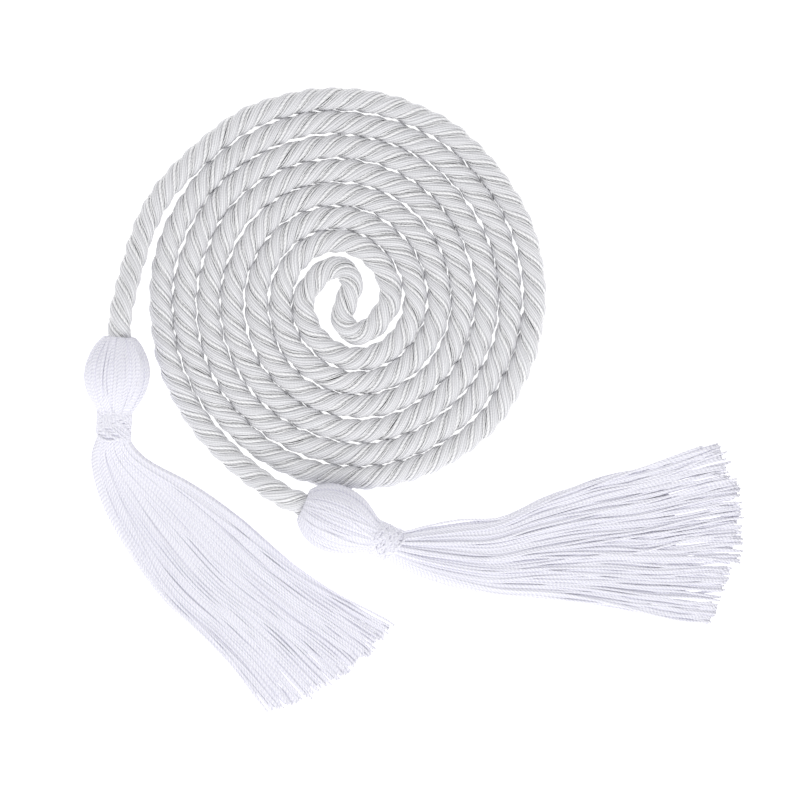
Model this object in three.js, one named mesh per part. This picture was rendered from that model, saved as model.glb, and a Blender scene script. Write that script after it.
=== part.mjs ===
// An honor cord laid flat: a three-strand twisted rope folded at its middle, with both halves wound
// round each other into a double spiral, and a tassel on each of its two free ends.
// Millimetres, +Z up, the floor at z = 0. Headings are degrees, anticlockwise from +X seen from above.

import * as THREE from "three";

// Driving dimensions of the rope
const CORD_DIAMETER = 6.4;
const CORD_SIDES = 12;
const TURN_GAP = 0.3; // daylight between neighbouring turns
const COIL_START_RADIUS = 12.5; // where each half of the rope leaves the S in the middle
const OVAL = 0.65; // how far the coil bulges along OVAL_HEADING and draws in across it
const OVAL_HEADING = 120;
const STATION_STEP = 15; // degrees between two sections of the coil
const TAIL_STEPS = 3; // sections from each point of a tail to the next

// Driving dimensions of a tassel
const HEAD_DIAMETER = 19;
const HEAD_LENGTH = 20.2;
const HEAD_SEGMENTS = 24;
const BINDING_DIAMETER = 9.8;
const BINDING_LENGTH = 7.6;
const BINDING_WALL = 1.2;
const BINDING_ROUNDING = 0.8;
const SKIRT_LENGTH = 95;
const SKIRT_THICKNESS = 3.6; // of the spread threads where they lie on the floor
const SKIRT_SQUARENESS = 0.55; // of a section that lies spread: 1 is an ellipse, less is fuller
const SKIRT_SIDES = 20;
const TASSEL_TILT = 3; // degrees that the head's axis falls towards the skirt

// What keeps neighbouring pieces apart
const JOINT_GAP = 0.3;

// Half of the S in the coil's middle, from its centre to where a spiral begins. The other half is
// the same turned half round. Shares of the coil's start radius, chosen by hand.
const MIDDLE_S = [
  { x: 0.0, y: 0.0 },
  { x: -0.11, y: -0.3 },
  { x: -0.07, y: -0.54 },
  { x: 0.08, y: -0.69 },
  { x: 0.31, y: -0.73 },
  { x: 0.57, y: -0.59 },
  { x: 0.78, y: -0.35 },
];

// How each half of the rope runs on. start is the heading where its spiral begins and coiled the
// degrees that it winds. A tail row is a point after that, chosen by hand: on is degrees further,
// out is millimetres outside the spiral, and rise is the share of the climb to the tassel's axis.
// The last row is where the rope enters its tassel, which points along the heading there.
const LEFT_HALF = {
  start: 0,
  coiled: 1215,
  heading: 266.5,
  tail: [
    { on: 13, out: 0.9, rise: 0.03 },
    { on: 25, out: 1.5, rise: 0.12 },
    { on: 36.5, out: 2.0, rise: 0.5 },
    { on: 53.8, out: 5.2, rise: 1.0 },
  ],
};
const RIGHT_HALF = {
  start: 180,
  coiled: 1110,
  heading: -24,
  tail: [
    { on: 12, out: 0.1, rise: 0.04 },
    { on: 23, out: 0.5, rise: 0.12 },
    { on: 32.5, out: 1.1, rise: 0.48 },
    { on: 47.5, out: 2.9, rise: 1.0 },
  ],
};

// The head's outline from the rope to the binding: shares of its length and of its radius.
const HEAD_OUTLINE = [
  { along: 0.0, radius: 0.4 },
  { along: 0.02, radius: 0.56 },
  { along: 0.1, radius: 0.74 },
  { along: 0.22, radius: 0.9 },
  { along: 0.36, radius: 0.985 },
  { along: 0.5, radius: 1.0 },
  { along: 0.64, radius: 0.96 },
  { along: 0.78, radius: 0.85 },
  { along: 0.9, radius: 0.69 },
  { along: 1.0, radius: 0.53 },
];

// How each skirt of threads spreads and lies, chosen by hand. forward and side place a section's
// middle from the binding's end, as shares of the skirt's length, and facing is how many degrees it
// is turned from the tassel's heading. width is its share of the skirt's width, lift how far its
// underside still hangs, as a share of the binding's height over the floor, and round how much of
// the stem's round form is left.
const LEFT_SKIRT = {
  width: 41.5,
  sections: [
    { forward: 0.058, side: 0.014, facing: 4, width: 0.36, lift: 0.5, round: 0.72 },
    { forward: 0.157, side: 0.104, facing: 15, width: 0.63, lift: 0.06, round: 0.42 },
    { forward: 0.286, side: 0.23, facing: 24, width: 0.79, lift: 0.0, round: 0.22 },
    { forward: 0.394, side: 0.343, facing: 25, width: 0.86, lift: 0.0, round: 0.12 },
    { forward: 0.487, side: 0.468, facing: 26, width: 0.88, lift: 0.0, round: 0.06 },
    { forward: 0.566, side: 0.576, facing: 31, width: 0.92, lift: 0.0, round: 0.02 },
    { forward: 0.652, side: 0.681, facing: 38, width: 1.0, lift: 0.0, round: 0.0 },
  ],
};
const RIGHT_SKIRT = {
  width: 50,
  sections: [
    { forward: 0.066, side: 0.015, facing: 5, width: 0.27, lift: 0.5, round: 0.74 },
    { forward: 0.162, side: 0.045, facing: 13, width: 0.36, lift: 0.1, round: 0.52 },
    { forward: 0.282, side: 0.091, facing: 19, width: 0.44, lift: 0.0, round: 0.32 },
    { forward: 0.406, side: 0.17, facing: 26, width: 0.57, lift: 0.0, round: 0.18 },
    { forward: 0.54, side: 0.248, facing: 28, width: 0.7, lift: 0.0, round: 0.1 },
    { forward: 0.685, side: 0.321, facing: 27, width: 0.83, lift: 0.0, round: 0.05 },
    { forward: 0.847, side: 0.416, facing: 23, width: 1.0, lift: 0.0, round: 0.02 },
    { forward: 0.922, side: 0.446, facing: 22, width: 0.76, lift: 0.0, round: 0.0 },
  ],
};

// Worked-out sizes
const CORD_RADIUS = CORD_DIAMETER / 2;
const TURN_GROWTH = 2 * (CORD_DIAMETER + TURN_GAP); // of one half's radius in a whole turn
const HEAD_RADIUS = HEAD_DIAMETER / 2;
const STEM_RADIUS = BINDING_DIAMETER / 2 - BINDING_WALL - JOINT_GAP;
const BINDING_START = HEAD_LENGTH + JOINT_GAP;
const BINDING_END = BINDING_START + BINDING_LENGTH;

const UP = new THREE.Vector3(0, 0, 1);
const { degToRad } = THREE.MathUtils;

const satinRope = new THREE.MeshStandardMaterial({
  color: 0xd6d6db,
  roughness: 0.38,
  metalness: 0,
});
const tasselThread = new THREE.MeshStandardMaterial({
  color: 0xeeeef8,
  roughness: 0.62,
  metalness: 0,
});

// A stretch of the rope's route between two places on it, counted in route points. Even steps along
// it fall on those points, so neighbouring turns of the coil have their sections on the same rays.
class RouteStretch extends THREE.Curve {
  constructor(route, from, to) {
    super();
    this.route = route;
    this.from = from;
    this.to = to;
  }

  getPoint(share) {
    const place = this.from + (this.to - this.from) * share;
    return this.route.getPoint(place / (this.route.points.length - 1));
  }

  getUtoTmapping(share) {
    return share;
  }
}

function namedMesh(name, geometry, material) {
  const mesh = new THREE.Mesh(geometry, material);
  mesh.name = name;
  return mesh;
}

// The spiral's radius after sweep degrees, at a heading. Both halves share it.
function coilRadius(sweep, heading) {
  const bulge = OVAL * Math.cos(degToRad(2 * (heading - OVAL_HEADING)));
  return COIL_START_RADIUS + (TURN_GROWTH * sweep) / 360 + bulge;
}

function spiralPoint(start, sweep, out, height) {
  const heading = start + sweep;
  const radius = coilRadius(sweep, heading) + out;
  const angle = degToRad(heading);
  return new THREE.Vector3(radius * Math.cos(angle), radius * Math.sin(angle), height);
}

// One half of the coiled rope, from its spiral's beginning to where it leaves the coil.
function spiralPoints(half) {
  const points = [];
  for (let sweep = 0; sweep <= half.coiled; sweep += STATION_STEP) {
    points.push(spiralPoint(half.start, sweep, 0, CORD_RADIUS));
  }
  return points;
}

function middlePoints(turned) {
  return MIDDLE_S.map(
    (row) =>
      new THREE.Vector3(
        turned * row.x * COIL_START_RADIUS,
        turned * row.y * COIL_START_RADIUS,
        CORD_RADIUS,
      ),
  );
}

// The coil's points, from the right half's end through the S to the left half's end.
function coilPoints() {
  const rightHalf = [...middlePoints(-1).slice(1), ...spiralPoints(RIGHT_HALF)];
  return [...rightHalf.reverse(), ...middlePoints(1), ...spiralPoints(LEFT_HALF)];
}

// The rope's section: a polygon with one flat side down, as wide across its flats as the rope.
function cordSection() {
  const corner = CORD_RADIUS / Math.cos(Math.PI / CORD_SIDES);
  const corners = [];
  for (let side = 0; side < CORD_SIDES; side += 1) {
    const angle = ((side + 0.5) * 2 * Math.PI) / CORD_SIDES;
    corners.push(new THREE.Vector2(corner * Math.cos(angle), corner * Math.sin(angle)));
  }
  return new THREE.Shape(corners);
}

function sweepCord(route, from, to, steps) {
  return new THREE.ExtrudeGeometry(cordSection(), {
    extrudePath: new RouteStretch(route, from, to),
    steps,
    bevelEnabled: false,
  });
}

// Which way a tassel's axis points.
function tasselAxis(half) {
  const heading = degToRad(half.heading);
  const tilt = degToRad(TASSEL_TILT);
  return new THREE.Vector3(
    Math.cos(tilt) * Math.cos(heading),
    Math.cos(tilt) * Math.sin(heading),
    -Math.sin(tilt),
  );
}

// A closed outline of (radius, along) turned round the +X axis, with one flat side down.
function turnedRoundX(outline, segments) {
  const geometry = new THREE.LatheGeometry(outline, segments, Math.PI / segments);
  geometry.rotateZ(-Math.PI / 2);
  return geometry;
}

function headGeometry() {
  const outline = HEAD_OUTLINE.map(
    (row) => new THREE.Vector2(row.radius * HEAD_RADIUS, row.along * HEAD_LENGTH),
  );
  const closed = [new THREE.Vector2(0, 0), ...outline, new THREE.Vector2(0, HEAD_LENGTH)];
  return turnedRoundX(closed, HEAD_SEGMENTS);
}

// The height over the floor at which the rope ends, a gap before the top of a head that lies tilted.
function entryHeight() {
  const tilt = degToRad(TASSEL_TILT);
  const tilted = headGeometry().rotateY(tilt);
  tilted.computeBoundingBox();
  return JOINT_GAP * Math.sin(tilt) - tilted.boundingBox.min.z;
}

// The wound thread round the neck: a ring with rounded edges, open where the skirt's stem passes.
function bindingGeometry() {
  const outer = BINDING_DIAMETER / 2;
  const inner = outer - BINDING_WALL;
  const outline = [
    new THREE.Vector2(inner, BINDING_START),
    new THREE.Vector2(outer - BINDING_ROUNDING, BINDING_START),
    new THREE.Vector2(outer, BINDING_START + BINDING_ROUNDING),
    new THREE.Vector2(outer, BINDING_END - BINDING_ROUNDING),
    new THREE.Vector2(outer - BINDING_ROUNDING, BINDING_END),
    new THREE.Vector2(inner, BINDING_END),
    new THREE.Vector2(inner, BINDING_START),
  ];
  return turnedRoundX(outline, HEAD_SEGMENTS);
}

// Where the rope enters the tassel: the last point of its tail.
function entryPoint(half) {
  const last = half.tail[half.tail.length - 1];
  return spiralPoint(half.start, half.coiled + last.on, last.out, entryHeight());
}

// The points after the coil: the rope lies on the floor, then climbs to run straight into its
// tassel for the last diameter.
function tailPoints(half) {
  const climb = entryHeight() - CORD_RADIUS;
  const points = half.tail
    .slice(0, -1)
    .map((row) =>
      spiralPoint(half.start, half.coiled + row.on, row.out, CORD_RADIUS + row.rise * climb),
    );
  const entry = entryPoint(half);
  points.push(entry.clone().addScaledVector(tasselAxis(half), -CORD_DIAMETER));
  points.push(entry);
  return points;
}

// The rope in three pieces, cut with a gap where each tail leaves the coil. Each is swept from an
// end that lies level, so its flat side stays down.
function cordPieces() {
  const rightTail = tailPoints(RIGHT_HALF).reverse();
  const coil = coilPoints();
  const leftTail = tailPoints(LEFT_HALF);
  const route = new THREE.CatmullRomCurve3([...rightTail, ...coil, ...leftTail]);
  const coilFrom = rightTail.length;
  const coilTo = coilFrom + coil.length - 1;
  const last = route.points.length - 1;
  const gapBefore = JOINT_GAP / coil[0].distanceTo(rightTail[rightTail.length - 1]);
  const gapAfter = JOINT_GAP / coil[coil.length - 1].distanceTo(leftTail[0]);
  const rightSteps = rightTail.length * TAIL_STEPS;
  const leftSteps = leftTail.length * TAIL_STEPS;
  const coilTube = sweepCord(route, coilFrom, coilTo, coil.length - 1);
  const rightTube = sweepCord(route, coilFrom - gapBefore, 0, rightSteps);
  const leftTube = sweepCord(route, coilTo + gapAfter, last, leftSteps);
  return [
    namedMesh("cord_coil", coilTube, satinRope),
    namedMesh("cord_tail_right", rightTube, satinRope),
    namedMesh("cord_tail_left", leftTube, satinRope),
  ];
}

// One ring of a skirt: its middle, the way across it, the way up it and its two half sizes.
// squareness 1 is an ellipse, and less is fuller at the edges and flatter above and below.
function ring(middle, across, upward, halfWidth, halfHeight, squareness) {
  return { middle, across, upward, halfWidth, halfHeight, squareness };
}

// The part of a skirt inside its binding, and the step out to full width behind it.
function stemRings(axis, top) {
  const across = new THREE.Vector3().crossVectors(UP, axis).normalize();
  const upward = new THREE.Vector3().crossVectors(axis, across).normalize();
  const at = (along) => top.clone().addScaledVector(axis, along);
  const neckRadius = BINDING_DIAMETER / 2 - BINDING_ROUNDING;
  return [
    ring(at(BINDING_START), across, upward, STEM_RADIUS, STEM_RADIUS, 1),
    ring(at(BINDING_END + JOINT_GAP), across, upward, STEM_RADIUS, STEM_RADIUS, 1),
    ring(at(BINDING_END + 2 * JOINT_GAP), across, upward, neckRadius, neckRadius, 1),
  ];
}

// The spreading part of a skirt, which sinks to the floor.
function spreadRings(skirt, half, top) {
  const neck = top.clone().addScaledVector(tasselAxis(half), BINDING_END);
  const hang = neck.z - BINDING_DIAMETER / 2;
  const forward = new THREE.Vector3(1, 0, 0).applyAxisAngle(UP, degToRad(half.heading));
  const side = new THREE.Vector3().crossVectors(UP, forward);
  return skirt.sections.map((row) => {
    const height = SKIRT_THICKNESS + row.round * (BINDING_DIAMETER - SKIRT_THICKNESS);
    const middle = neck
      .clone()
      .addScaledVector(forward, row.forward * SKIRT_LENGTH)
      .addScaledVector(side, row.side * SKIRT_LENGTH)
      .setZ(row.lift * hang + height / 2);
    const across = side.clone().applyAxisAngle(UP, degToRad(row.facing));
    const squareness = THREE.MathUtils.lerp(SKIRT_SQUARENESS, 1, row.round);
    return ring(middle, across, UP, (row.width * skirt.width) / 2, height / 2, squareness);
  });
}

// A closed skin through rings of the same number of sides: a cylinder whose points are moved onto
// the rings, row by row.
function skinThrough(rings, sides) {
  const skin = new THREE.CylinderGeometry(1, 1, 1, sides, rings.length - 1);
  const places = skin.getAttribute("position");
  const bent = (value, power) => Math.sign(value) * Math.abs(value) ** power;
  for (let index = 0; index < places.count; index += 1) {
    const row = Math.round((0.5 - places.getY(index)) * (rings.length - 1));
    const { middle, across, upward, halfWidth, halfHeight, squareness } = rings[row];
    const point = middle
      .clone()
      .addScaledVector(across, halfWidth * bent(places.getX(index), squareness))
      .addScaledVector(upward, halfHeight * bent(places.getZ(index), squareness));
    places.setXYZ(index, point.x, point.y, point.z);
  }
  return skin;
}

// The head and its binding stand along the tassel's axis from the rope's end.
function tasselPieces(side, half, skirt) {
  const axis = tasselAxis(half);
  const top = entryPoint(half).addScaledVector(axis, JOINT_GAP);
  const upright = new THREE.Group();
  upright.position.copy(top);
  upright.rotation.set(0, degToRad(TASSEL_TILT), degToRad(half.heading), "ZYX");
  upright.add(namedMesh(`tassel_head_${side}`, headGeometry(), tasselThread));
  upright.add(namedMesh(`neck_binding_${side}`, bindingGeometry(), tasselThread));
  const rings = [...stemRings(axis, top), ...spreadRings(skirt, half, top)];
  const skirtMesh = namedMesh(`skirt_${side}`, skinThrough(rings, SKIRT_SIDES), tasselThread);
  return [upright, skirtMesh];
}

function honorCord() {
  const cord = new THREE.Group();
  cord.add(...cordPieces());
  cord.add(...tasselPieces("left", LEFT_HALF, LEFT_SKIRT));
  cord.add(...tasselPieces("right", RIGHT_HALF, RIGHT_SKIRT));
  return cord;
}

// The origin is below the middle of the whole cord's box, on the floor.
const root = new THREE.Group();
const laidCord = honorCord();
const box = new THREE.Box3().setFromObject(laidCord, true);
laidCord.position.set(-(box.min.x + box.max.x) / 2, -(box.min.y + box.max.y) / 2, -box.min.z);
root.add(laidCord);

export default root;
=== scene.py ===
import math

import bpy
import numpy as np
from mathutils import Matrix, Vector


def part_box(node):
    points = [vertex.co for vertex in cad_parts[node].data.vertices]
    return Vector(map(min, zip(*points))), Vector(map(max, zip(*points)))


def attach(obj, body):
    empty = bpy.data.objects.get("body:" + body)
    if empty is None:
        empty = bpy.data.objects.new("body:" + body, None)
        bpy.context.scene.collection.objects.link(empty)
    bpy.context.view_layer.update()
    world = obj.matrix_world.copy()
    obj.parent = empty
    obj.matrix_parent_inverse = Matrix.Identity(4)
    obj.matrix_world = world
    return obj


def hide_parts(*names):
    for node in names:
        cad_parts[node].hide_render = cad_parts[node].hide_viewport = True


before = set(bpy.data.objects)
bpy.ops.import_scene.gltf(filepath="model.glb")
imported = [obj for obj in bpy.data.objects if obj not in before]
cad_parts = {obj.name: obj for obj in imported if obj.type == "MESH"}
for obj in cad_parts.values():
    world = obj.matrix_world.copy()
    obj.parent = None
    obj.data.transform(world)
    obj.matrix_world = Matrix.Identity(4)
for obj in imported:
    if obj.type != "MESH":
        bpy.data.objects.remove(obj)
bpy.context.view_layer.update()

# A tasselled twisted cord laid flat in a double spiral, seen from straight above.
# Metres, +Z up, the floor at z = 0. Headings are degrees, anticlockwise from +X seen from above.

# The rope's size and route, as the model has them
CORD_DIAMETER = 0.0064
CORD_RADIUS = CORD_DIAMETER / 2
TURN_GAP = 0.0003
TURN_GROWTH = 2 * (CORD_DIAMETER + TURN_GAP)
COIL_START_RADIUS = 0.0125
OVAL = 0.00065
OVAL_HEADING = 120
STATION_STEP = 15
JOINT_GAP = 0.0003

# Half of the S in the coil's middle, as shares of the start radius
MIDDLE_S = [
    (0.0, 0.0),
    (-0.11, -0.3),
    (-0.07, -0.54),
    (0.08, -0.69),
    (0.31, -0.73),
    (0.57, -0.59),
    (0.78, -0.35),
]

# How each half of the rope runs on. A tail row is (degrees further, metres outside the spiral,
# share of the climb to the tassel's axis), and the last row is where the rope enters its tassel.
LEFT_HALF = {
    "start": 0,
    "coiled": 1215,
    "heading": 266.5,
    "tail": [(13, 0.0009, 0.03), (25, 0.0015, 0.12), (36.5, 0.002, 0.5), (53.8, 0.0052, 1.0)],
}
RIGHT_HALF = {
    "start": 180,
    "coiled": 1110,
    "heading": -24,
    "tail": [(12, 0.0001, 0.04), (23, 0.0005, 0.12), (32.5, 0.0011, 0.48), (47.5, 0.0029, 1.0)],
}

# The rope's three strands and the yarns on each. The strands' crowns stand a little outside the
# rope's even diameter and their valleys inside it.
STRANDS = 3
LAY = 0.0183  # of the rope for one turn of a strand
STRAND_RADIUS = 0.0018
STRAND_OFFSET = 0.00165
STRAND_SECTOR = math.radians(59.6)  # a strand is pressed flat against its neighbours here
STRAND_RISE = 0.00008  # how much a strand swells and thins along the rope
YARNS = 14
YARN_UNEVEN = 0.5  # the share by which a yarn is wider or narrower than the mean
YARN_DEPTH = 0.00022
YARN_PROFILE = [0.0, 0.9, 0.9]  # how proud a yarn's skin stands from one groove to the next
YARN_RISE = 0.00006  # how much prouder a wide yarn lies
YARN_BACK_TWIST = 0.4  # turns that the yarns untwist for each turn of their strand
# The bright cords that lie along each strand's two edges, in the valleys: (degrees round the rope
# from the strand's crown, metres from the rope's centreline, radius)
BROAD_CORDS = [(43.0, 0.00274, 0.00044)]
BROAD_SIDES = 6
FINE_CORDS = [(56.0, 0.00224, 0.00024), (-53.5, 0.00234, 0.00026), (-42.0, 0.00275, 0.00026)]
FINE_SIDES = 4
EDGE_DRIFT = 0.035  # radians that an edge cord strays from its place
STRAND_DRIFT = 0.14  # radians that a strand runs ahead of or behind an even lay
STRAND_DRIFT_LENGTH = 0.11
ROPE_STEP = 0.00092
ROPE_STRAY = 0.00022  # how far the rope wanders to either side of its even route
ROPE_STRAY_LENGTH = 0.05
ROPE_STRAY_SEED = 5
STRAND_SEED = 11
ROPE_TUCK = 0.004  # how far the rope runs on inside a tassel's head

# A tassel's head and neck, as the model has them, except that the outline's last three rows stay a
# little fuller towards the binding. An outline's row is (share of the head's length, share of its
# radius).
HEAD_RADIUS = 0.0095
HEAD_LENGTH = 0.0202
HEAD_SEGMENTS = 24
BINDING_RADIUS = 0.0049
BINDING_LENGTH = 0.0076
BINDING_START = HEAD_LENGTH + JOINT_GAP
BINDING_END = BINDING_START + BINDING_LENGTH
TASSEL_TILT = math.radians(3)
HEAD_OUTLINE = [
    (0.0, 0.4),
    (0.02, 0.56),
    (0.1, 0.74),
    (0.22, 0.9),
    (0.36, 0.985),
    (0.5, 1.0),
    (0.64, 0.96),
    (0.78, 0.87),
    (0.9, 0.74),
    (1.0, 0.6),
]

# The head's covering threads before and after the outline: out of the hole round the rope, and in
# under the binding
HEAD_TUCK = [(0.16, 0.37), (0.08, 0.37), (0.01, 0.41), (-0.004, 0.47)]
HEAD_RUN_IN = [(1.06, 0.53), (1.13, 0.475), (1.2, 0.45)]
# The threads' bundle inside the binding: (share of the binding's length, radius)
STEM_ROWS = [(0.05, 0.0034), (0.5, 0.0038), (1.0, 0.0046)]
FLOW_STEPS = 16

# The threads of the tassels
THREAD_RADIUS = 0.0004
THREAD_SIDES = 6
PLY_LENGTH = 0.00107  # from one crossing of the two plies to the next
HEAD_THREADS = 96
HEAD_THREAD_JITTER = 0.15  # of the spacing
HEAD_STEPS = 38
HEAD_SWAY = 0.014  # radians
HEAD_UNEVEN = 0.00007
HEAD_DIVE = 0.0007  # how deep a crowded thread may lie under its neighbours
HEAD_CROWDING = 1.8  # thread radii between neighbours, below which they crowd each other
STRAY_EVERY = 9  # one thread in so many crosses over the others
STRAY_LIFT = 0.0003
STRAY_CROSSING = (0.12, 0.3)  # radians
# Pleats are (folds round the head, radians that they are turned)
LEFT_HEAD = {"pleats": [(7, 0.0), (4, 2.6)], "pleat_depth": 0.0018}
RIGHT_HEAD = {"pleats": [(6, 0.3), (9, 2.0)], "pleat_depth": 0.0008}
# (share of the head's length, share of the pleats' depth)
PLEAT_STRENGTH = [(0, 0.2), (0.06, 0.7), (0.2, 1), (0.38, 0.5), (0.6, 0.12), (1, 0)]
KNOB_STEPS = 24
KNOB_SIDES = 60
KNOB_HOLE = 0.0034
KNOB_INSET = 0.00012
BINDING_TURNS = 10
BINDING_OVERWRAPS = 24
WINDING_OVERRUN = 0.0004  # how far the winding runs on over the head and the skirt
BINDING_ROUNDING = 0.0002
BINDING_UNEVEN = 0.00012
WINDING_SLACK = 0.012  # how far a turn strays along the neck, as a share of the winding
WINDING_SLACK_LENGTH = 0.23
WINDING_RISE_LENGTH = 0.17
# The ranges that the turns over the winding are drawn from, and the share at either end of one that
# is tucked in and how deep, in thread radii
OVERWRAP_TURNS = (1.0, 2.0)
OVERWRAP_MIDDLE = (0.35, 0.65)
OVERWRAP_SLANT = (0.3, 0.6)
OVERWRAP_SUNK = (0.3, 0.8)
OVERWRAP_TUCK = 0.08
OVERWRAP_TUCK_DEPTH = 1.4
TURN_STEPS = 30
SKIRT_THREADS = 199
SKIRT_STEPS = 40
# The layers that the threads lie in by turns over the skirt's body, as shares of its half height,
# and those down its two edges
SKIRT_LAYERS = (0.45, 0.65, 0.84)
EDGE_LAYERS = (0.84, 0.3, -0.3, -0.85, 0.0, -0.6, 0.6)
SKIRT_LAYER_SLACK = 0.07
CLUMP_WAVES = (2.3, 4.1, 7.7, 13.1)
SKIRT_SWAY_LENGTH = 0.07
SKIRT_LIFT = 0.0002
SKIRT_DROOP = 0.00045  # how much lower the threads lie at their tips
SKIRT_CROWN = 0.35  # how far a skirt that lies flat still curves down to its edges
SKIRT_STRAY_REACH = 0.5
SKIRT_STRAY_LAYERS = (0.9, 1.15)
TIP_SPREAD = 1.02  # how far the tips reach, as a share of the half width
TIP_RAGGED = 0.0011
TIP_RAGGED_LIMIT = 4 * TIP_RAGGED
TIP_BULGE_POWER = 2.2
# The body under a skirt's threads: how far it reaches, and its middle and half height as shares of
# the skirt's half height, where the skirt is still round and where it is flat
CORE_END = 0.84
CORE_BLUNTNESS = 6
CORE_THINNEST = 0.05  # of its height, at its end
CORE_NARROWEST = 0.4  # of its width, if it thinned out to nothing
CORE_INSET = 0.0013
CORE_ROUND = (0.0, 0.66)
CORE_FLAT = (-0.22, 0.72)
CORE_SIDES = 28
CORE_SQUARENESS = 0.5
CORE_THREADS = 110  # in the pattern round it
NECK_CORE_INSET = 0.0005

# How each skirt spreads and lies. A row is (forward, side, facing, width, lift, round): its middle
# from the binding's end as shares of the skirt's length, the degrees that it is turned from the
# tassel's heading, its share of the skirt's width, how far its underside hangs as a share of the
# binding's height over the floor, and how much of the stem's round form is left. At the tips the
# threads gather into bundles, by a share drawn from a range, and clump and scatter by shares of the
# half width. ragged is how far the bundles' ends differ, sway how far a thread winds about, and
# strays how many threads cross the others. One thread at the left edge escapes: (from share, to
# share, how far out).
SKIRT_LENGTH = 0.095
SKIRT_THICKNESS = 0.0036
LEFT_SKIRT = {
    "width": 0.0415,
    "rows": [
        (0.058, 0.014, 4, 0.36, 0.5, 0.72),
        (0.157, 0.104, 15, 0.63, 0.06, 0.42),
        (0.286, 0.23, 24, 0.79, 0.0, 0.22),
        (0.394, 0.343, 25, 0.86, 0.0, 0.12),
        (0.487, 0.468, 26, 0.88, 0.0, 0.06),
        (0.566, 0.576, 31, 0.92, 0.0, 0.02),
        (0.652, 0.681, 38, 1.0, 0.0, 0.0),
        (0.69, 0.72, 40, 1.02, 0.0, 0.0),
    ],
    "tip_bulge": 0.0034,
    "clump": 0.02,
    "bundles": 13,
    "gather": (0.0, 0.1),
    "ragged": 0.0008,
    "scatter": 0.012,
    "sway": 0.0005,
    "strays": 5,
    "escape": (0.5, 1.3, 0.0012),
}
RIGHT_SKIRT = {
    "width": 0.050,
    "rows": [
        (0.066, 0.015, 5, 0.27, 0.5, 0.74),
        (0.162, 0.045, 13, 0.36, 0.1, 0.52),
        (0.282, 0.091, 19, 0.44, 0.0, 0.32),
        (0.406, 0.17, 26, 0.57, 0.0, 0.18),
        (0.54, 0.248, 28, 0.7, 0.0, 0.1),
        (0.685, 0.321, 27, 0.83, 0.0, 0.05),
        (0.847, 0.416, 23, 1.0, 0.0, 0.02),
        (0.925, 0.455, 22, 1.06, 0.0, 0.0),
    ],
    "tip_bulge": 0.0072,
    "clump": 0.03,
    "bundles": 17,
    "gather": (0.0, 0.2),
    "ragged": 0.0014,
    "scatter": 0.03,
    "sway": 0.0009,
    "strays": 18,
    "escape": (0.03, 0.42, 0.0019),
}

# The picture: metres to a pixel of the photograph, its width in pixels, where the coil's middle is
# on it, and the camera's lens and sensor in millimetres
PIXEL = 0.00028
FRAME_PIXELS = 800
COIL_PIXEL = (347.4, 300.2)
LENS = 600
SENSOR = 36

# The pale floor and the soft light
FLOOR_SIZE = 6
FLOOR_COLOUR = (0.9, 0.9, 0.9, 1)
FLOOR_ROUGHNESS = 0.9
FLOOR_GLOW = 0.65
WHITE = (1, 1, 1, 1)
KEY_PLACE = (0.05, -0.65, 0.6)
KEY_TARGET = (0, 0, 0)
KEY_SIZE = 0.5
KEY_POWER = 2.6
ROOM_LIGHT = 0.84

# The finish of each kind of thread. Colours are linear. light and dark are a thread's own tones,
# which differ at random, and shadow is a painted shade colour. ply is the metres from one ridge to
# the next. groove, edge and dip are how far the painted shade comes in between the ply ridges,
# between the yarns or down a round cord's sides, and where a strand dips. drift is how fast a
# thread's own tone changes along it.
ROPE_LOOK = {
    "light": (0.96, 0.96, 0.985),
    "dark": (0.86, 0.86, 0.89),
    "shadow": (0.38, 0.38, 0.4),
    "ply": 0.0006,
    "plies": 1.0,
    "ply_depth": 0.25,
    "drift": 90.0,
    "groove": 0.14,
    "edge": 0.6,
    "edge_shift": 0.0,
    "edge_sharpness": 2.5,
    "dip": 0.95,
    "dip_middle": -0.04,
    "dip_range": (0.42, 0.6),
    "bump": 0.45,
    "roughness": 0.38,
    "specular": 0.6,
    "sheen": 0.1,
}
EDGE_LOOK = {
    **ROPE_LOOK,
    "light": (0.99, 0.99, 0.995),
    "dark": (0.95, 0.95, 0.965),
    "shadow": (0.55, 0.55, 0.58),
    "ply": 0.00085,
    "plies": 2.0,
    "groove": 0.4,
    "edge": 0.4,
    "edge_shift": 0.25,
    "edge_sharpness": 4.0,
    "dip": 0.0,
    "roughness": 0.3,
}
TASSEL_LOOK = {
    "light": (0.945, 0.94, 0.995),
    "dark": (0.9, 0.895, 0.97),
    "shadow": (0.62, 0.61, 0.77),
    "ply": PLY_LENGTH,
    "plies": 2.0,
    "ply_depth": 0.2,
    "drift": 40.0,
    "groove": 0.4,
    "edge": 0.0,
    "dip": 0.0,
    "bump": 0.6,
    "roughness": 0.5,
    "specular": 0.4,
    "sheen": 0.15,
}
DIP_STRENGTH = 1.4  # of the painted shade in the dips, on the darkest yarns, less on lighter ones
SHADE_SPREAD = 50.0  # how far apart in the noise two threads' shades are taken
PHASE_SPREAD = 3.0  # how many ridges a thread's ridges may be shifted by

# The samples from each point of a route or an outline to the next, the lengths and strengths of the
# waves in a smooth random drift, what scales it to lie mostly within 1, and each tassel's seed
CURVE_STEPS = 12
WANDER_WAVES = (1.0, 0.61, 0.37)
WANDER_SIZE = 1.6
LEFT_SEED = 100
RIGHT_SEED = 101

UP = np.array([0.0, 0.0, 1.0])
UV_NAME = "thread"
LEAF_NAME = "leaf"


def unit(vectors):
    return vectors / np.linalg.norm(vectors, axis=-1, keepdims=True)


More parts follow.
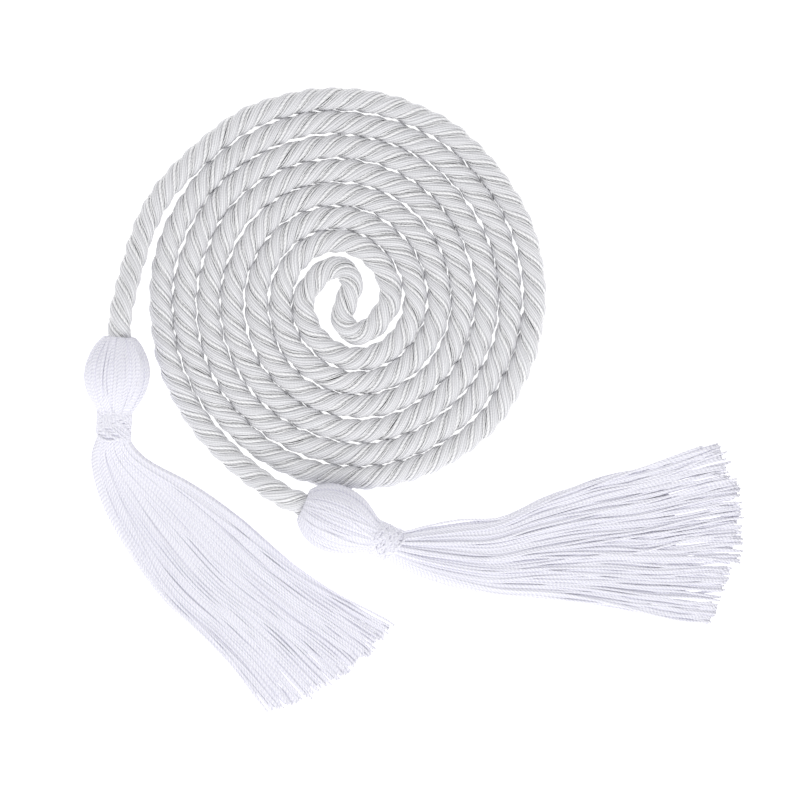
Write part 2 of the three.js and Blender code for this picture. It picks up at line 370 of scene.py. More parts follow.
def smooth_through(points, steps):
    """A centripetal Catmull-Rom curve through points, sampled steps times from each to the next.
    Columns after the first three are carried along with the place."""
    p = np.asarray(points, float)
    p = np.vstack([2 * p[0] - p[1], p, 2 * p[-1] - p[-2]])
    spans = np.linalg.norm(np.diff(p[:, :3], axis=0), axis=1) ** 0.5
    knots = np.concatenate([[0], np.cumsum(spans)])
    curve = []
    for i in range(1, len(p) - 2):
        p0, p1, p2, p3 = p[i - 1 : i + 3]
        t0, t1, t2, t3 = knots[i - 1 : i + 3]
        t = np.linspace(t1, t2, steps, endpoint=False)[:, None]
        a1 = (t1 - t) / (t1 - t0) * p0 + (t - t0) / (t1 - t0) * p1
        a2 = (t2 - t) / (t2 - t1) * p1 + (t - t1) / (t2 - t1) * p2
        a3 = (t3 - t) / (t3 - t2) * p2 + (t - t2) / (t3 - t2) * p3
        b1 = (t2 - t) / (t2 - t0) * a1 + (t - t0) / (t2 - t0) * a2
        b2 = (t3 - t) / (t3 - t1) * a2 + (t - t1) / (t3 - t1) * a3
        curve.append((t2 - t) / (t2 - t1) * b1 + (t - t1) / (t2 - t1) * b2)
    return np.vstack([*curve, p[-2]])


def distance_along(line):
    return np.concatenate([[0], np.cumsum(np.linalg.norm(np.diff(line, axis=0), axis=1))])


def respaced(line, places, along):
    """The line's points at those distances along it, each column by itself."""
    return np.stack([np.interp(places, along, line[:, k]) for k in range(line.shape[1])], axis=1)


def wander(places, wavelength, rng):
    """A smooth random wave about 0, mostly within -1 and 1."""
    total = np.zeros_like(places)
    for share in WANDER_WAVES:
        phase = rng.uniform(0, 2 * math.pi)
        total += share * np.sin(2 * math.pi * places / (wavelength * share) + phase)
    return total / WANDER_SIZE


# The route of the rope


def coil_radius(sweep, heading):
    bulge = OVAL * math.cos(math.radians(2 * (heading - OVAL_HEADING)))
    return COIL_START_RADIUS + TURN_GROWTH * sweep / 360 + bulge


def spiral_point(start, sweep, out, height):
    heading = start + sweep
    radius = coil_radius(sweep, heading) + out
    angle = math.radians(heading)
    return [radius * math.cos(angle), radius * math.sin(angle), height]


def spiral_points(half):
    sweeps = range(0, half["coiled"] + 1, STATION_STEP)
    return [spiral_point(half["start"], sweep, 0, CORD_RADIUS) for sweep in sweeps]


def middle_points(turned):
    size = turned * COIL_START_RADIUS
    return [[size * x, size * y, CORD_RADIUS] for x, y in MIDDLE_S]


def coil_points():
    right = [*middle_points(-1)[1:], *spiral_points(RIGHT_HALF)]
    return [*right[::-1], *middle_points(1), *spiral_points(LEFT_HALF)]


def tassel_axis(half):
    heading = math.radians(half["heading"])
    level = math.cos(TASSEL_TILT)
    return np.array([level * math.cos(heading), level * math.sin(heading), -math.sin(TASSEL_TILT)])


def entry_height():
    """How high the rope's end lies, so that the tilted head just rests on the floor."""
    flat = math.cos(math.pi / HEAD_SEGMENTS)
    drops = [
        along * HEAD_LENGTH * math.sin(TASSEL_TILT)
        + radius * HEAD_RADIUS * flat * math.cos(TASSEL_TILT)
        for along, radius in HEAD_OUTLINE
    ]
    return JOINT_GAP * math.sin(TASSEL_TILT) + max(drops)


def entry_point(half):
    on, out, _ = half["tail"][-1]
    return np.array(spiral_point(half["start"], half["coiled"] + on, out, entry_height()))


def tail_points(half):
    climb = entry_height() - CORD_RADIUS
    points = [
        spiral_point(half["start"], half["coiled"] + on, out, CORD_RADIUS + rise * climb)
        for on, out, rise in half["tail"][:-1]
    ]
    entry = entry_point(half)
    axis = tassel_axis(half)
    return [*points, entry - CORD_DIAMETER * axis, entry]


def coil_middle():
    """Where the coil's middle lies in the frame: its solid's box less the route's own box."""
    low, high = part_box("cord_coil")
    route = np.array(coil_points())[:, :2]
    middle = (np.array(low + high) / 2)[:2] - (route.min(axis=0) + route.max(axis=0)) / 2
    return np.array([middle[0], middle[1], 0.0])


COIL_MIDDLE = coil_middle()


def rope_line():
    """The rope's centreline, evenly spaced, with both ends run on into their heads."""
    right_tuck = entry_point(RIGHT_HALF) + ROPE_TUCK * tassel_axis(RIGHT_HALF)
    left_tuck = entry_point(LEFT_HALF) + ROPE_TUCK * tassel_axis(LEFT_HALF)
    points = [
        right_tuck,
        *tail_points(RIGHT_HALF)[::-1],
        *coil_points(),
        *tail_points(LEFT_HALF),
        left_tuck,
    ]
    line = smooth_through(points, CURVE_STEPS) + COIL_MIDDLE
    along = distance_along(line)
    side, _ = line_sides(line)
    at_ends = np.clip(np.minimum(along, along[-1] - along) / ROPE_STRAY_LENGTH, 0, 1)
    rng = np.random.default_rng(ROPE_STRAY_SEED)
    stray = ROPE_STRAY * at_ends * wander(along, ROPE_STRAY_LENGTH, rng)
    line = line + stray[:, None] * side
    along = distance_along(line)
    places = np.linspace(0, along[-1], round(along[-1] / ROPE_STEP) + 1)
    return respaced(line, places, along), places


# Meshes made of tubes


def rings_round(paths, outward, radius, sides):
    """Round sections along each path. outward is roughly which way is up from the path."""
    tangent = unit(np.gradient(paths, axis=1))
    side = unit(np.cross(tangent, outward))[:, :, None]
    up = np.cross(side, tangent[:, :, None])
    angle = (2 * math.pi * (np.arange(sides) + 0.5) / sides)[None, None, :, None]
    size = np.broadcast_to(radius, paths.shape[:2])[:, :, None, None]
    return paths[:, :, None] + size * (np.cos(angle) * side + np.sin(angle) * up)


def quads_of(grid):
    """The four corners of each cell of (tube, ring, side) grids, as rows."""
    corners = [grid[:, :-1, :-1], grid[:, 1:, :-1], grid[:, 1:, 1:], grid[:, :-1, 1:]]
    return np.stack([corner.ravel() for corner in corners], axis=1)


def mark_points(thing, name, values):
    """Stores a value for each point, for a material to read."""
    thing.data.attributes.new(name, "FLOAT", "POINT").data.foreach_set("value", values.ravel())


def tube_object(name, rings, along, numbers, span=1):
    """One closed mesh of many tubes. rings is (tube, ring, side, xyz), along is (tube, ring) in
    metres. The map holds the distance along, and the tube's number plus span for one way round."""
    tubes, rows, sides = rings.shape[:3]
    corner = np.arange(tubes * rows * sides).reshape(tubes, rows, sides)
    grid = np.concatenate([corner, corner[:, :, :1]], axis=2)
    around = numbers[:, None, None] + span * np.arange(sides + 1) / sides
    u = np.broadcast_to(along[:, :, None], grid.shape)
    v = np.broadcast_to(around, grid.shape)
    caps = [*corner[:, 0].tolist(), *corner[:, -1, ::-1].tolist()]
    mesh = bpy.data.meshes.new(name)
    mesh.from_pydata(rings.reshape(-1, 3), [], [*quads_of(grid).tolist(), *caps])
    places = np.zeros((len(mesh.loops), 2), np.float32)
    mapped = np.stack([quads_of(u).ravel(), quads_of(v).ravel()], axis=1)
    places[: len(mapped)] = mapped
    mesh.uv_layers.new(name=UV_NAME).data.foreach_set("uv", places.ravel())
    mesh.shade_smooth()
    thing = bpy.data.objects.new(name, mesh)
    bpy.context.scene.collection.objects.link(thing)
    return thing


def finish_piece(thing, slot, material, *nodes):
    thing.data.materials.append(material)
    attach(thing, "root")
    if nodes:
        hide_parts(*nodes)
    return thing


# The rope


def yarn_columns(rng):
    """Where a strand's mesh columns lie, as shares of the way round it, how proud each stands as a
    share of the yarn's depth, and how wide its yarn is beside the mean."""
    widths = 1 + YARN_UNEVEN * rng.uniform(-1, 1, YARNS)
    widths = widths * YARNS / widths.sum()
    starts = np.concatenate([[0], np.cumsum(widths)[:-1]])
    steps = np.arange(len(YARN_PROFILE)) / len(YARN_PROFILE)
    shares = (starts[:, None] + widths[:, None] * steps).ravel() / YARNS
    return shares, np.tile(YARN_PROFILE, YARNS), np.repeat(widths, len(YARN_PROFILE))


def line_sides(line):
    """The rope's right-hand side and its upper side at each of its points."""
    tangent = unit(np.gradient(line, axis=0))
    side = unit(np.cross(tangent, UP))
    return side, np.cross(side, tangent)


def strand_turn(along, number, rng):
    """How far round the rope a strand's crown lies at each place, in radians."""
    even = 2 * math.pi * (along / LAY + number / STRANDS)
    return even + STRAND_DRIFT * wander(along, STRAND_DRIFT_LENGTH, rng)


def strand_rings(line, along, turn, rng):
    """One strand's sections, a ring of yarns pressed flat where it lies against its neighbours, and
    how far each point is from the crown on the way to the neighbour, from -1 to 1 and on."""
    side, up = line_sides(line)
    shares, proud, widths = yarn_columns(rng)
    untwist = YARN_BACK_TWIST * along / LAY
    angle = 2 * math.pi * (shares - untwist[:, None])
    swell = STRAND_RISE * wander(along, STRAND_DRIFT_LENGTH, rng)[:, None]
    reach = STRAND_RADIUS + swell + YARN_RISE * (widths - 1) - YARN_DEPTH * widths * (1 - proud)
    x = STRAND_OFFSET + reach * np.cos(angle)
    y = reach * np.sin(angle)
    leaf = np.arctan2(y, x) / STRAND_SECTOR
    beyond = np.abs(leaf) > 1
    pressed = x * math.cos(STRAND_SECTOR) + np.abs(y) * math.sin(STRAND_SECTOR)
    pressed = (pressed + np.hypot(pressed, YARN_DEPTH)) / 2
    x = np.where(beyond, pressed * math.cos(STRAND_SECTOR), x)[:, :, None]
    y = np.where(beyond, np.sign(y) * pressed * math.sin(STRAND_SECTOR), y)[:, :, None]
    cosine = np.cos(turn)[:, None]
    sine = np.sin(turn)[:, None]
    outward = (cosine * side + sine * up)[:, None]
    onward = (cosine * up - sine * side)[:, None]
    rings = line[:, None] + x * outward + y * onward
    rings[..., 2] = np.maximum(rings[..., 2], 0)
    return rings, leaf


def edge_paths(line, along, turns, cords, rng):
    """The centrelines of the cords along the strands' edges, and each one's radius."""
    side, up = line_sides(line)
    paths = []
    radii = []
    for turn in turns:
        for degrees, reach, radius in cords:
            stray = EDGE_DRIFT * wander(along, 2 * LAY, rng)
            angle = (turn + math.radians(degrees) + stray)[:, None]
            path = line + reach * (np.cos(angle) * side + np.sin(angle) * up)
            path[:, 2] = np.maximum(path[:, 2], radius)
            paths.append(path)
            radii.append(radius)
    return np.array(paths), np.array(radii)[:, None]


def make_edges(name, line, along, turns, cords, sides, material, rng):
    paths, radii = edge_paths(line, along, turns, cords, rng)
    rings = rings_round(paths, unit(paths - line), radii, sides)
    places = np.broadcast_to(along, paths.shape[:2])
    edges = tube_object(name, rings, places, np.arange(len(paths)))
    return finish_piece(edges, "satin_rope", material)


def make_rope(material, edge_material):
    line, along = rope_line()
    rng = np.random.default_rng(STRAND_SEED)
    turns = [strand_turn(along, number, rng) for number in range(STRANDS)]
    strands = []
    for number, turn in enumerate(turns):
        rings, leaf = strand_rings(line, along, turn, rng)
        name = f"rope_strand_{number + 1}"
        first_yarn = np.array([number * YARNS])
        strand = tube_object(name, rings[None], along[None], first_yarn, YARNS)
        # Each point's place from the crown, for the painted shade where a strand dips
        mark_points(strand, LEAF_NAME, leaf)
        strands.append(strand)
    finish_piece(strands[0], "satin_rope", material, "cord_coil", "cord_tail_left", "cord_tail_right")
    for strand in strands[1:]:
        finish_piece(strand, "satin_rope", material)
    edges = [
        make_edges(name, line, along, turns, cords, sides, edge_material, rng)
        for name, cords, sides in [
            ("rope_broad_cords", BROAD_CORDS, BROAD_SIDES),
            ("rope_fine_cords", FINE_CORDS, FINE_SIDES),
        ]
    ]


# The tassels


class Tassel:
    """Where one tassel lies: the top of its head, its axis, and the ways across and up it."""

    def __init__(self, half):
        self.axis = tassel_axis(half)
        self.top = entry_point(half) + COIL_MIDDLE + JOINT_GAP * self.axis
        self.across = unit(np.cross(UP, self.axis))
        self.upward = np.cross(self.axis, self.across)
        self.heading = math.radians(half["heading"])

    def round_axis(self, along, radius, angle):
        """Points at a distance along the axis, out from it and round it, with the way out there."""
        outward = np.cos(angle)[..., None] * self.across + np.sin(angle)[..., None] * self.upward
        points = self.top + along[..., None] * self.axis + radius[..., None] * outward
        return points, outward


def head_profile(steps):
    """The covering threads' middle line: from the rope, over the head, and in under the binding."""
    rows = [*HEAD_TUCK, *HEAD_OUTLINE[1:], *HEAD_RUN_IN]
    points = [(along * HEAD_LENGTH, radius * HEAD_RADIUS, 0.0) for along, radius in rows]
    line = smooth_through(points, CURVE_STEPS)
    distances = distance_along(line)
    line = respaced(line, np.linspace(0, distances[-1], steps), distances)
    slope = unit(np.gradient(line, axis=0))
    along = line[:, 0] + THREAD_RADIUS * slope[:, 1]
    radius = line[:, 1] - THREAD_RADIUS * slope[:, 0]
    return along, radius, np.linspace(0, distances[-1], steps)


def pleat_depth(head, along, angle):
    """How deep the head's skin is drawn in between the pleats that run down from the rope."""
    share = np.clip(along / HEAD_LENGTH, 0, 1)
    strength = np.interp(share, *zip(*PLEAT_STRENGTH))
    wave = sum(np.cos(folds * angle + shift) for folds, shift in head["pleats"])
    return head["pleat_depth"] * strength * (0.5 - 0.5 * wave / len(head["pleats"]))


def make_head(side, tassel, head, material, rng):
    along, radius, distance = head_profile(HEAD_STEPS)
    spacing = 2 * math.pi * radius / HEAD_THREADS
    crowd = np.clip(1 - spacing / (HEAD_CROWDING * THREAD_RADIUS), 0, 1)
    angles = []
    lifts = []
    for number in range(HEAD_THREADS):
        jitter = HEAD_THREAD_JITTER * rng.uniform(-1, 1)
        base = 2 * math.pi * (number + jitter) / HEAD_THREADS
        sway = HEAD_SWAY * wander(distance, HEAD_LENGTH, rng)
        dive = rng.uniform(0, 1) * HEAD_DIVE * crowd
        lift = HEAD_UNEVEN * rng.uniform(-1, 1) - dive
        if number % STRAY_EVERY == STRAY_EVERY - 1:
            crossing = rng.uniform(*STRAY_CROSSING) * rng.choice([-1, 1])
            sway = sway + crossing * np.sin(np.pi * distance / distance[-1])
            lift = lift + STRAY_LIFT
        angles.append(base + sway)
        lifts.append(lift)
    angle = np.array(angles)
    reach = radius + np.array(lifts) - pleat_depth(head, along, angle)
    paths, outward = tassel.round_axis(np.broadcast_to(along, angle.shape), reach, angle)
    slope = unit(np.gradient(np.stack([along, radius], axis=1), axis=0))
    outward = unit(slope[:, :1] * outward - slope[:, 1:] * tassel.axis)
    rings = rings_round(paths, outward, THREAD_RADIUS, THREAD_SIDES)
    spans = np.broadcast_to(distance, angle.shape)
    threads = tube_object(f"head_threads_{side}", rings, spans, np.arange(HEAD_THREADS))
    finish_piece(threads, "tassel_head", material, f"tassel_head_{side}")


def make_knob(side, tassel, head, material):
    """The body under a head's threads."""
    along, radius, distance = head_profile(KNOB_STEPS)
    keep = radius > KNOB_HOLE
    along, radius, distance = along[keep, None], radius[keep, None], distance[keep]
    angle = -2 * math.pi * (np.arange(KNOB_SIDES) + 0.5) / KNOB_SIDES + 0 * along
    reach = radius - KNOB_INSET - pleat_depth(head, along, angle)
    points, _ = tassel.round_axis(along + 0 * angle, reach, angle)
    knob = tube_object(f"head_knob_{side}", points[None], distance[None], np.array([0]))
    finish_piece(knob, "tassel_head", material)


def winding(turn, rng):
    """The thread wound round and round the neck: its place along the neck, angle and radius."""
    uneven = turn + WINDING_SLACK * wander(turn, WINDING_SLACK_LENGTH, rng)
    along = BINDING_START - WINDING_OVERRUN + uneven * (BINDING_LENGTH + 2 * WINDING_OVERRUN)
    angle = turn * BINDING_TURNS * 2 * math.pi
    rounding = BINDING_ROUNDING * np.abs(2 * turn - 1) ** 3
    rise = BINDING_UNEVEN * wander(turn, WINDING_RISE_LENGTH, rng)
    return along, angle, BINDING_RADIUS - THREAD_RADIUS - rounding + rise


def overwrap(turn, rng):
    """A slanting turn or two over the winding, with both ends tucked in."""
    turns = rng.uniform(*OVERWRAP_TURNS)
    angle = (rng.uniform(0, 1) + turn * turns * rng.choice([-1, 1])) * 2 * math.pi
    middle = BINDING_START + BINDING_LENGTH * rng.uniform(*OVERWRAP_MIDDLE)
    slant = BINDING_LENGTH * rng.uniform(*OVERWRAP_SLANT)
    along = middle + slant * np.sin(angle + rng.uniform(0, 2 * math.pi))
    inside = np.clip(np.minimum(turn, 1 - turn) / OVERWRAP_TUCK, 0, 1) - 1
    sunk = OVERWRAP_TUCK_DEPTH * inside - rng.uniform(*OVERWRAP_SUNK)
    return along, angle, BINDING_RADIUS + THREAD_RADIUS * sunk


def make_binding(side, tassel, material, rng):
    """The winding, a tube for each of its turns, and the turns that cross over it."""
    turns = np.linspace(0, 1, BINDING_TURNS * TURN_STEPS + 1)
    wound = winding(turns, rng)
    starts = range(0, BINDING_TURNS * TURN_STEPS, TURN_STEPS)
    wraps = [[part[start : start + TURN_STEPS + 1] for part in wound] for start in starts]
    over = np.linspace(0, 1, TURN_STEPS + 1)
    wraps += [overwrap(over, rng) for _ in range(BINDING_OVERWRAPS)]
    along, angle, radius = (np.array(part) for part in zip(*wraps))
    paths, outward = tassel.round_axis(along, radius, angle)
    rings = rings_round(paths, outward, THREAD_RADIUS, THREAD_SIDES)
    spans = np.array([distance_along(path) for path in paths])
    binding = tube_object(f"neck_threads_{side}", rings, spans, np.arange(len(paths)))
    finish_piece(binding, "wound_thread", material, f"neck_binding_{side}")
    make_neck_core(side, tassel, material)


def make_neck_core(side, tassel, material):
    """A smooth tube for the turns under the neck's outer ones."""
    along = np.linspace(BINDING_START, BINDING_END, BINDING_TURNS + 1)[:, None]
    angle = -2 * math.pi * (np.arange(KNOB_SIDES) + 0.5) / KNOB_SIDES + 0 * along
    radius = np.full_like(angle, BINDING_RADIUS - NECK_CORE_INSET)
    points, _ = tassel.round_axis(along + 0 * angle, radius, angle)
    core = tube_object(f"neck_core_{side}", points[None], along[None, :, 0], np.array([0]))
    finish_piece(core, "wound_thread", material)


# A skirt's flow holds, for each place along its middle line, that line, the direction it faces,
# its half width and half height, and how round it still is.
FLOW_FACING, FLOW_WIDTH, FLOW_HEIGHT, FLOW_ROUND = range(3, 7)


def skirt_flow(tassel, skirt):
    forward = np.array([math.cos(tassel.heading), math.sin(tassel.heading), 0.0])
    side = np.cross(UP, forward)
    neck = tassel.top + BINDING_END * tassel.axis
    hang = neck[2] - BINDING_RADIUS
    rows = []
    for share, radius in STEM_ROWS:
        middle = tassel.top + (BINDING_START + share * BINDING_LENGTH) * tassel.axis
        rows.append([*middle, tassel.heading, radius, radius, 1.0])
    for on, beside, facing, width, lift, still_round in skirt["rows"]:
        height = SKIRT_THICKNESS + still_round * (2 * BINDING_RADIUS - SKIRT_THICKNESS)
        middle = neck + on * SKIRT_LENGTH * forward + beside * SKIRT_LENGTH * side
        middle[2] = lift * hang + height / 2
        heading = tassel.heading + math.radians(facing)
        rows.append([*middle, heading, width * skirt["width"] / 2, height / 2, still_round])
    flow = smooth_through(rows, FLOW_STEPS)
    return flow, distance_along(flow[:, :3])


def tip_places(skirt, along, across, bundle, rng):
    """How far along the middle line each thread ends: a bulging line of tips with ragged ends."""
    steps_to_tips = FLOW_STEPS * (len(STEM_ROWS) + len(skirt["rows"]) - 2)
    line = along[steps_to_tips]
    bulge = skirt["tip_bulge"] * (1 - np.abs(across) ** TIP_BULGE_POWER)
    ragged = np.minimum(TIP_RAGGED * rng.exponential(1, len(across)), TIP_RAGGED_LIMIT)
    uneven = skirt["ragged"] * rng.uniform(-1, 1, skirt["bundles"])[bundle]
    return line + bulge - ragged + uneven


def thread_layers(rng):
    """Each thread's share of the skirt's half height, with a stack of threads at either edge."""
    layer = np.resize(SKIRT_LAYERS, SKIRT_THREADS)
    layer[: len(EDGE_LAYERS)] = EDGE_LAYERS
    layer[-len(EDGE_LAYERS) :] = EDGE_LAYERS[::-1]
    return layer + SKIRT_LAYER_SLACK * rng.uniform(-1, 1, SKIRT_THREADS)


def thread_shares(skirt, rng):
    """Each thread's share of the half width, near the neck and at its tip, its share of the half
    height, and the number of the bundle that it gathers into."""
    stack = len(EDGE_LAYERS)
    count = SKIRT_THREADS - 2 * stack
    across = np.linspace(-1, 1, count) + rng.uniform(-1, 1, count) / count
    at_edge = 1 - rng.uniform(0, 2 / count, stack)
    across = np.concatenate([-at_edge, across, at_edge])
    layer = thread_layers(rng)
    middles = np.sort(rng.uniform(-1, 1, skirt["bundles"]))
    bundle = np.abs(across[:, None] - middles).argmin(axis=1)
    gather = rng.uniform(*skirt["gather"], skirt["bundles"])[bundle]
    at_tip = across + gather * (middles[bundle] - across)
    at_tip = at_tip + skirt["scatter"] * rng.uniform(-1, 1, len(across))
    for wave in CLUMP_WAVES:
        at_tip = at_tip + skirt["clump"] / wave * np.sin(wave * math.pi * across + rng.uniform(0, 6))
    strays = rng.choice(np.arange(stack, stack + count), skirt["strays"], replace=False)
    at_tip[strays] = across[strays] + rng.uniform(-SKIRT_STRAY_REACH, SKIRT_STRAY_REACH, len(strays))
    layer[strays] = rng.uniform(*SKIRT_STRAY_LAYERS, len(strays))
    return np.clip(across, -1, 1), np.clip(at_tip, -TIP_SPREAD, TIP_SPREAD), layer, bundle


def make_skirt(side, tassel, skirt, material, rng):
    flow, along = skirt_flow(tassel, skirt)
    across, at_tip, layer, bundle = thread_shares(skirt, rng)
    ends = tip_places(skirt, along, at_tip, bundle, rng)
    share = np.linspace(0, 1, SKIRT_STEPS)
    places = ends[:, None] * share
    here = np.stack([np.interp(places, along, flow[:, k]) for k in range(flow.shape[1])], axis=-1)
    spread = (share * share * (3 - 2 * share))[None]
    x = across[:, None] * (1 - spread) + at_tip[:, None] * spread
    y = np.broadcast_to(layer[:, None], x.shape)
    still_round = here[..., FLOW_ROUND]
    inside = x * np.sqrt(1 - y * y / 2)
    crown = y * np.sqrt(1 - np.clip(x, -1, 1) ** 2 / 2)
    x = x + (inside - x) * still_round
    y = y + (crown - y) * (SKIRT_CROWN + (1 - SKIRT_CROWN) * still_round)
    loose = np.array([wander(row, SKIRT_SWAY_LENGTH, rng) for row in places]) * spread
    lifts = np.array([wander(row, SKIRT_SWAY_LENGTH, rng) for row in places]) * spread
    x = x * (here[..., FLOW_WIDTH] - THREAD_RADIUS) + skirt["sway"] * loose
    start, end, out = skirt["escape"]
    x[-1] += out * np.sin(math.pi * np.clip((share - start) / (end - start), 0, 1))
    y = y * (here[..., FLOW_HEIGHT] - THREAD_RADIUS) + SKIRT_LIFT * lifts - SKIRT_DROOP * spread
    facing = here[..., FLOW_FACING]
    paths = here[..., :3].copy()
    paths[..., 0] -= x * np.sin(facing)
    paths[..., 1] += x * np.cos(facing)
    paths[..., 2] = np.maximum(paths[..., 2] + y, THREAD_RADIUS)
    outward = np.broadcast_to(UP, paths.shape)
    rings = rings_round(paths, outward, THREAD_RADIUS, THREAD_SIDES)
    threads = tube_object(f"skirt_threads_{side}", rings, places, np.arange(SKIRT_THREADS))
    finish_piece(threads, "fringe_thread", material, f"skirt_{side}")


def make_skirt_core(side, tassel, skirt, material):
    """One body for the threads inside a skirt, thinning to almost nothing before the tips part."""
    flow, along = skirt_flow(tassel, skirt)
    flow = flow[: 1 + round(CORE_END * (len(flow) - 1))]
    along = along[: len(flow)]
    fullness = np.sqrt(1 - (along / along[-1])[:, None] ** CORE_BLUNTNESS)
    thin = CORE_THINNEST + (1 - CORE_THINNEST) * fullness
    still_round = np.clip(flow[:, FLOW_ROUND, None], 0, 1)
    middle, half = (
        flow[:, FLOW_HEIGHT, None] * (flat + (rounded - flat) * still_round)
        for rounded, flat in zip(CORE_ROUND, CORE_FLAT)
    )
    narrow = CORE_NARROWEST + (1 - CORE_NARROWEST) * thin
    width = np.maximum(flow[:, FLOW_WIDTH, None] - CORE_INSET, 0) * narrow
    angle = -2 * math.pi * (np.arange(CORE_SIDES) + 0.5) / CORE_SIDES
    squareness = 1 - CORE_SQUARENESS * (1 - still_round)
    x = width * np.sign(np.cos(angle)) * np.abs(np.cos(angle)) ** squareness
    y = middle + half * thin * np.sign(np.sin(angle)) * np.abs(np.sin(angle)) ** squareness
    facing = flow[:, FLOW_FACING, None]
    rings = np.stack([-x * np.sin(facing), x * np.cos(facing), y], axis=-1) + flow[:, None, :3]
    core = tube_object(f"skirt_core_{side}", rings[None], along[None], np.array([0]), CORE_THREADS)
    finish_piece(core, "fringe_thread", material)


# Materials


class Nodes:
    """A material's node tree, with short calls to add to it."""

    def __init__(self, name):
        self.material = bpy.data.materials.new(name)
        self.material.use_nodes = True
        self.tree = self.material.node_tree
        self.shader = self.tree.nodes["Principled BSDF"]

    def add(self, kind, settings=(), **inputs):
        node = self.tree.nodes.new(kind)
        for key, value in dict(settings).items():
            setattr(node, key, value)
        for key, value in inputs.items():
            self.put(node.inputs[key.replace("_", " ")], value)
        return node

    def put(self, socket, value):
        if isinstance(value, bpy.types.NodeSocket):
            self.tree.links.new(value, socket)
        else:
            socket.default_value = value

    def math(self, operation, first, second=0.0):
        node = self.tree.nodes.new("ShaderNodeMath")
        node.operation = operation
        self.put(node.inputs[0], first)
        self.put(node.inputs[1], second)
        return node.outputs[0]

    def mix(self, factor, first, second):
        node = self.tree.nodes.new("ShaderNodeMix")
        node.data_type = "RGBA"
        self.put(node.inputs["Factor"], factor)
        self.put(node.inputs["A"], first)
        self.put(node.inputs["B"], second)
        return node.outputs["Result"]

    def thread_map(self):
        """The distance along the thread, and the thread's number plus the share of the way round."""
        places = self.add("ShaderNodeUVMap", {"uv_map": UV_NAME})
        split = self.add("ShaderNodeSeparateXYZ", Vector=places.outputs[0])
        return split.outputs[0], split.outputs[1]

    def random_of(self, number):
        noise = self.add("ShaderNodeTexWhiteNoise", {"noise_dimensions": "1D"}, W=number)
        return noise.outputs["Value"]


def thread_shade(nodes, along, number, look):
    """A shade from 0 to 1 that differs from thread to thread and drifts along each."""
    own = nodes.random_of(nodes.math("FLOOR", number))
    down = nodes.math("MULTIPLY", along, look["drift"])
    across = nodes.math("MULTIPLY", own, SHADE_SPREAD)
    place = nodes.add("ShaderNodeCombineXYZ", X=down, Y=across).outputs[0]
    drift = nodes.add("ShaderNodeTexNoise", {"noise_dimensions": "2D"}, Vector=place, Scale=1.0)
    mean = nodes.math("ADD", own, drift.outputs[0])
    return own, nodes.math("MULTIPLY", mean, 0.5)


def ply_ridges(nodes, along, number, own, look):
    """Ridges that wind along a thread, 0 in their valleys and 1 on their crowns."""
    turned = nodes.math("MULTIPLY", number, look["plies"])
    phase = nodes.math("ADD", nodes.math("DIVIDE", along, look["ply"]), turned)
    phase = nodes.math("ADD", phase, nodes.math("MULTIPLY", own, PHASE_SPREAD))
    return nodes.math("ABSOLUTE", nodes.math("SINE", nodes.math("MULTIPLY", phase, math.pi)))


def leaf_dip_shade(nodes, shade, look):
    """Painted shade: 0 on a strand's open face, up to DIP_STRENGTH where it dips to a neighbour."""
    place = nodes.add("ShaderNodeAttribute", {"attribute_name": LEAF_NAME}).outputs["Fac"]
    away = nodes.math("ABSOLUTE", nodes.math("SUBTRACT", place, look["dip_middle"]))
    smooth = {"interpolation_type": "SMOOTHSTEP"}
    first, last = look["dip_range"]
    dip = nodes.add("ShaderNodeMapRange", smooth, Value=away, From_Min=first, From_Max=last)
    return nodes.math("MULTIPLY", dip.outputs[0], nodes.math("SUBTRACT", DIP_STRENGTH, shade))


def thread_material(name, look):
    """Twisted thread or yarn, with painted shade in its ply valleys and between the yarns."""
    nodes = Nodes(name)
    along, number = nodes.thread_map()
    own, shade = thread_shade(nodes, along, number, look)
    ridge = ply_ridges(nodes, along, number, own, look)
    colour = nodes.mix(shade, (*look["dark"], 1), (*look["light"], 1))
    # Painted shade in the valleys between the ply ridges
    valley_shade = nodes.math("MULTIPLY", nodes.math("SUBTRACT", 1.0, ridge), look["groove"])
    colour = nodes.mix(valley_shade, colour, (*look["shadow"], 1))
    if look["edge"]:
        # Painted shade between the yarns and down a round cord's sides. The middle of a yarn is
        # half way from one groove to the next, and the crown of a round cord a quarter of the way
        # round it.
        middle = nodes.math("SUBTRACT", nodes.math("ADD", number, look["edge_shift"]), 0.5)
        place = nodes.math("MULTIPLY", nodes.math("FRACT", middle), 2.0)
        edge = nodes.math("SUBTRACT", 1.0, nodes.math("ABSOLUTE", nodes.math("SUBTRACT", place, 1.0)))
        edge = nodes.math("POWER", edge, look["edge_sharpness"])
        colour = nodes.mix(nodes.math("MULTIPLY", edge, look["edge"]), colour, (*look["shadow"], 1))
    # Painted shade where a strand dips towards its neighbours
    if look["dip"]:
        dip = leaf_dip_shade(nodes, shade, look)
        colour = nodes.mix(nodes.math("MULTIPLY", dip, look["dip"]), colour, (*look["shadow"], 1))
    depth = look["ply"] * look["ply_depth"]
    bump = nodes.add("ShaderNodeBump", Height=ridge, Strength=look["bump"], Distance=depth)
    nodes.put(nodes.shader.inputs["Base Color"], colour)
    nodes.put(nodes.shader.inputs["Normal"], bump.outputs[0])
    nodes.put(nodes.shader.inputs["Roughness"], look["roughness"])
    nodes.put(nodes.shader.inputs["Specular IOR Level"], look["specular"])
    nodes.put(nodes.shader.inputs["Sheen Weight"], look["sheen"])
    return nodes.material


# The floor, the lights and the camera


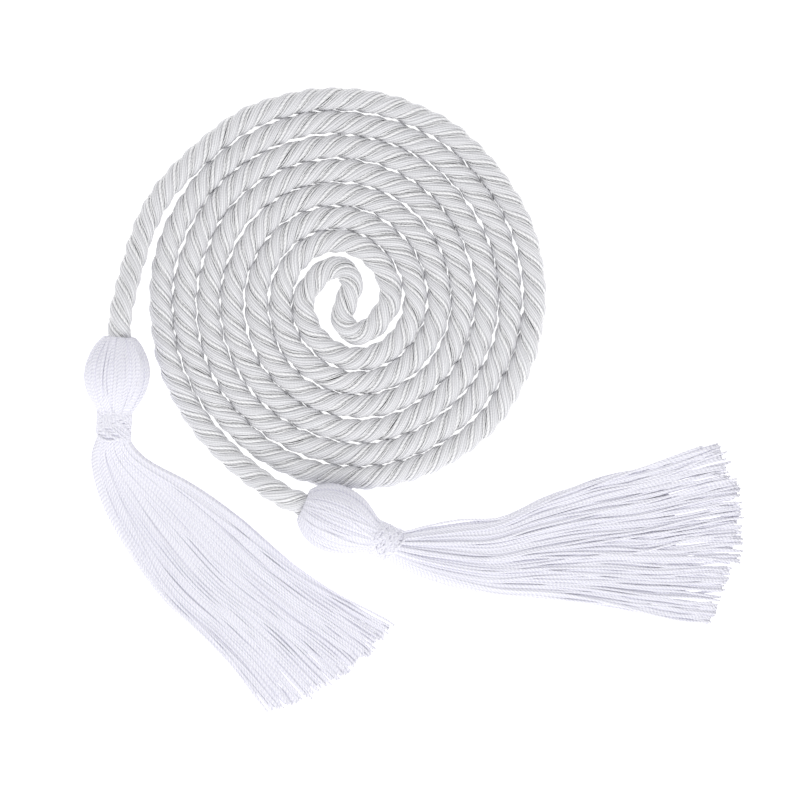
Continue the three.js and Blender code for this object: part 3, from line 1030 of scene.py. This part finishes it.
def make_floor():
    mesh = bpy.data.meshes.new("floor")
    half = FLOOR_SIZE / 2
    corners = [(-half, -half, 0), (half, -half, 0), (half, half, 0), (-half, half, 0)]
    mesh.from_pydata(corners, [], [(0, 1, 2, 3)])
    floor = bpy.data.objects.new("floor", mesh)
    bpy.context.scene.collection.objects.link(floor)
    nodes = Nodes("white_table")
    nodes.put(nodes.shader.inputs["Base Color"], FLOOR_COLOUR)
    nodes.put(nodes.shader.inputs["Roughness"], FLOOR_ROUGHNESS)
    nodes.put(nodes.shader.inputs["Emission Color"], WHITE)
    nodes.put(nodes.shader.inputs["Emission Strength"], FLOOR_GLOW)
    mesh.materials.append(nodes.material)


def make_key_light():
    data = bpy.data.lights.new("key_light", "AREA")
    data.shape = "SQUARE"
    data.size = KEY_SIZE
    data.energy = KEY_POWER
    lamp = bpy.data.objects.new("key_light", data)
    lamp.location = KEY_PLACE
    towards = Vector(KEY_TARGET) - Vector(KEY_PLACE)
    lamp.rotation_euler = towards.to_track_quat("-Z", "Y").to_euler()
    bpy.context.scene.collection.objects.link(lamp)


def make_room_light():
    """Even white light from all round, and a view transform that leaves white as white."""
    world = bpy.data.worlds.new("soft_room")
    world.use_nodes = True
    background = world.node_tree.nodes["Background"]
    background.inputs["Color"].default_value = WHITE
    background.inputs["Strength"].default_value = ROOM_LIGHT
    bpy.context.scene.world = world
    bpy.context.scene.view_settings.view_transform = "Standard"


def make_camera():
    """Straight above the point that the photograph's middle shows."""
    right = (FRAME_PIXELS / 2 - COIL_PIXEL[0]) * PIXEL
    down = (FRAME_PIXELS / 2 - COIL_PIXEL[1]) * PIXEL
    data = bpy.data.cameras.new("camera")
    data.lens = LENS
    data.sensor_width = SENSOR
    camera = bpy.data.objects.new("camera", data)
    distance = FRAME_PIXELS * PIXEL * LENS / SENSOR
    camera.location = (COIL_MIDDLE[0] + right, COIL_MIDDLE[1] - down, distance + CORD_RADIUS)
    data.clip_end = 2 * distance
    bpy.context.scene.collection.objects.link(camera)
    bpy.context.scene.camera = camera


def main():
    rope_material = thread_material("satin_rope_yarn", ROPE_LOOK)
    edge_material = thread_material("satin_edge_cord", EDGE_LOOK)
    tassel_material = thread_material("tassel_thread", TASSEL_LOOK)
    make_camera()
    make_rope(rope_material, edge_material)
    tassels = [
        ("left", LEFT_HALF, LEFT_HEAD, LEFT_SKIRT, LEFT_SEED),
        ("right", RIGHT_HALF, RIGHT_HEAD, RIGHT_SKIRT, RIGHT_SEED),
    ]
    for side, half, head, skirt, seed in tassels:
        rng = np.random.default_rng(seed)
        tassel = Tassel(half)
        make_head(side, tassel, head, tassel_material, rng)
        make_knob(side, tassel, head, tassel_material)
        make_binding(side, tassel, tassel_material, rng)
        make_skirt(side, tassel, skirt, tassel_material, rng)
        make_skirt_core(side, tassel, skirt, tassel_material)
    make_floor()
    make_key_light()
    make_room_light()


main()
